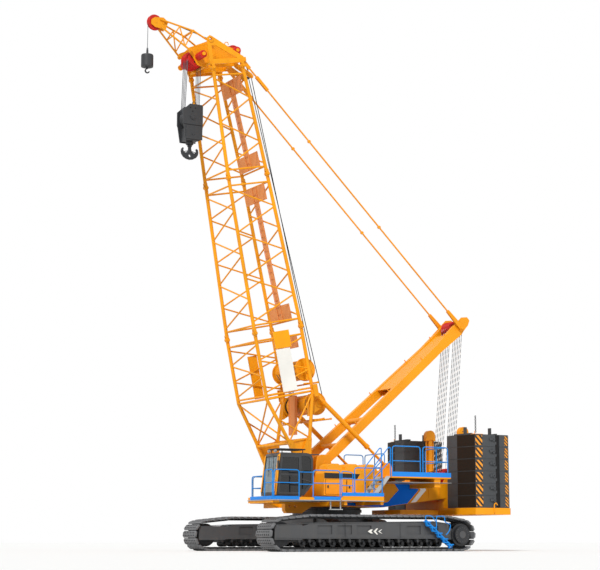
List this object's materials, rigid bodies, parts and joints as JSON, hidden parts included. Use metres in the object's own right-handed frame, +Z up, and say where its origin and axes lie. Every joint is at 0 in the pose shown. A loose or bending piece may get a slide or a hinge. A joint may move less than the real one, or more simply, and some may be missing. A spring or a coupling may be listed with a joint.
{
  "type": "crawler crane",
  "caption": "Heavy crawler crane with a lattice boom, luffing mast, stacked rear counterweights, tip jib, main and auxiliary hooks and an operator's cab.",
  "frame": {"origin": "on the ground, under the middle of the whole length and width", "axes": "+X forward, +Y to the crane's left (the cab side), +Z up"},
  "size_m": [14.8887, 7.864, 20.7988],
  "materials": {
    "board_white": "satin",
    "cab_grey": "satin",
    "dark_steel": "satin",
    "fabric_black": "woven",
    "frame_grey": "satin",
    "glass": "clear",
    "hook_grey": "satin",
    "plastic_dark": "matte",
    "rail_blue": "satin",
    "sheave_red": "satin",
    "structure_yellow": "satin",
    "track_steel": "worn",
    "walk_salmon": "satin",
    "weight_grey": "satin"
  },
  "bodies": {
    "undercarriage": {"car_body": "frame_grey", "slewing_ring": "dark_steel", "left_track": "track_steel", "right_track": "track_steel", "left_track_frame": "frame_grey", "right_track_frame": "frame_grey", "track_drives": "dark_steel", "idler_wheels": "dark_steel", "track_rollers": "track_steel", "track_steps": "rail_blue"},
    "upperworks": {"turntable_frame": "structure_yellow", "engine_house": "structure_yellow", "engine_block": "dark_steel", "tank_house": "structure_yellow", "counterweight_tray": "structure_yellow", "left_counterweights": "weight_grey", "right_counterweights": "weight_grey", "weight_lifting_posts": "structure_yellow", "rope_block_stand": "structure_yellow", "side_decks": "structure_yellow", "deck_stairs": "frame_grey", "guard_rails": "rail_blue", "cab_shell": "cab_grey", "cab_windows": "glass", "operator_chair": "fabric_black", "cab_console": "plastic_dark"},
    "cab_door": {"cab_door": "cab_grey", "door_glass": "glass"},
    "luffing_drum": {"luffing_drum": "structure_yellow"},
    "lower_rope_block": {"lower_block_sheaves": "sheave_red"},
    "boom": {"boom_base_sides": "structure_yellow", "boom_base_lacing": "structure_yellow", "boom_insert_sides": "structure_yellow", "boom_insert_lacing": "structure_yellow", "boom_top_sides": "structure_yellow", "boom_top_lacing": "structure_yellow", "boom_head": "structure_yellow", "tip_jib": "structure_yellow", "boom_walkway": "walk_salmon", "blank_boards": "board_white"},
    "upper_hoist_drum": {"upper_hoist_drum": "structure_yellow"},
    "lower_hoist_drum": {"lower_hoist_drum": "structure_yellow"},
    "head_sheaves": {"main_sheaves": "sheave_red"},
    "rear_sheaves": {"rear_sheaves": "sheave_red"},
    "tip_sheave": {"tip_sheave": "sheave_red"},
    "mast": {"mast": "structure_yellow"},
    "upper_rope_block": {"mast_sheaves": "sheave_red"},
    "pendants": {"pendants": "structure_yellow"},
    "backstop_rods": {"backstop_rods": "structure_yellow"},
    "backstop_tubes": {"backstop_tubes": "structure_yellow"},
    "main_hook_block": {"main_hook_block": "hook_grey"},
    "hook_sheaves": {"hook_block_sheaves": "sheave_red"},
    "main_hook": {"main_hook": "dark_steel"},
    "aux_hook": {"aux_hook_weight": "hook_grey"}
  },
  "joints": [
    {"name": "slew", "type": "hinge", "parent": "undercarriage", "child": "upperworks", "pos_m": [-0.81, 0, 1.69], "axis": [0, 0, 1], "continuous": true},
    {"name": "boom_luff", "type": "hinge", "parent": "upperworks", "child": "boom", "pos_m": [0.81, 0, 2.68], "axis": [0, 1, 0], "range_deg": [-4, 45]},
    {"name": "mast_swing", "type": "hinge", "parent": "upperworks", "child": "mast", "pos_m": [-0.11, 0, 3.37], "axis": [0, 1, 0], "range_deg": [-4.75, 50.41]},
    {"name": "pendant_swing", "type": "hinge", "parent": "mast", "child": "pendants", "pos_m": [-6.95365, 0, 9.21503], "axis": [0, 1, 0], "range_deg": [-6.77, 0.87]},
    {"name": "upper_rope_block_turn", "type": "hinge", "parent": "mast", "child": "upper_rope_block", "pos_m": [-6.95365, 0, 9.21503], "axis": [0, 1, 0], "range_deg": [-9.08, 1.08]},
    {"name": "lower_rope_block_turn", "type": "hinge", "parent": "upperworks", "child": "lower_rope_block", "pos_m": [-6.41, 0, 3.02], "axis": [0, 1, 0], "range_deg": [-3.97, 41.64]},
    {"name": "backstop_swing", "type": "hinge", "parent": "upperworks", "child": "backstop_rods", "pos_m": [-2.76, 0, 3.33], "axis": [0, 1, 0], "range_deg": [-2.17, 21.37]},
    {"name": "backstop_extend", "type": "slide", "parent": "backstop_rods", "child": "backstop_tubes", "axis": [0.762, 0, 0.6476], "range_m": [-0.1812, 1.9364]},
    {"name": "main_hook_hang", "type": "hinge", "parent": "boom", "child": "main_hook_block", "pos_m": [5.21518, 0, 19.21866], "axis": [0, 1, 0], "range_deg": [-45.3, 4.3]},
    {"name": "aux_hook_hang", "type": "hinge", "parent": "boom", "child": "aux_hook", "pos_m": [6.91075, 0, 20.48877], "axis": [0, 1, 0], "range_deg": [-45.3, 4.3]},
    {"name": "main_hook_swivel", "type": "hinge", "parent": "main_hook_block", "child": "main_hook", "pos_m": [5.34, 0, 15.732], "axis": [0, 0, 1], "continuous": true},
    {"name": "head_sheaves_turn", "type": "hinge", "parent": "boom", "child": "head_sheaves", "pos_m": [5.21518, 0, 19.21866], "axis": [0, 1, 0], "continuous": true},
    {"name": "rear_sheaves_turn", "type": "hinge", "parent": "boom", "child": "rear_sheaves", "pos_m": [3.56995, 0, 19.70539], "axis": [0, 1, 0], "continuous": true},
    {"name": "tip_sheave_turn", "type": "hinge", "parent": "boom", "child": "tip_sheave", "pos_m": [6.91075, 0, 20.48877], "axis": [0, 1, 0], "continuous": true},
    {"name": "hook_sheaves_turn", "type": "hinge", "parent": "main_hook_block", "child": "hook_sheaves", "pos_m": [5.34, 0, 16.8], "axis": [0, 1, 0], "continuous": true},
    {"name": "upper_hoist_turn", "type": "hinge", "parent": "boom", "child": "upper_hoist_drum", "pos_m": [0.68841, 0, 7.03694], "axis": [0, 1, 0], "continuous": true},
    {"name": "lower_hoist_turn", "type": "hinge", "parent": "boom", "child": "lower_hoist_drum", "pos_m": [0.18881, 0, 5.7213], "axis": [0, 1, 0], "continuous": true},
    {"name": "luffing_drum_turn", "type": "hinge", "parent": "upperworks", "child": "luffing_drum", "pos_m": [-4.11, 0, 2.56], "axis": [0, 1, 0], "continuous": true},
    {"name": "cab_door_slide", "type": "slide", "parent": "upperworks", "child": "cab_door", "axis": [-1, 0, 0], "range_m": [0, 0.8]}
  ],
  "couplings": [
    {"joint": "mast_swing", "follows": "boom_luff", "ratio": 1.1136},
    {"joint": "pendant_swing", "follows": "boom_luff", "ratio": -0.1437},
    {"joint": "upper_rope_block_turn", "follows": "boom_luff", "ratio": -0.195},
    {"joint": "lower_rope_block_turn", "follows": "boom_luff", "ratio": 0.9186},
    {"joint": "backstop_swing", "follows": "boom_luff", "ratio": 0.4683},
    {"joint": "backstop_extend", "follows": "boom_luff", "m_per_rad": 2.4528},
    {"joint": "main_hook_hang", "follows": "boom_luff", "ratio": -1},
    {"joint": "aux_hook_hang", "follows": "boom_luff", "ratio": -1}
  ]
}
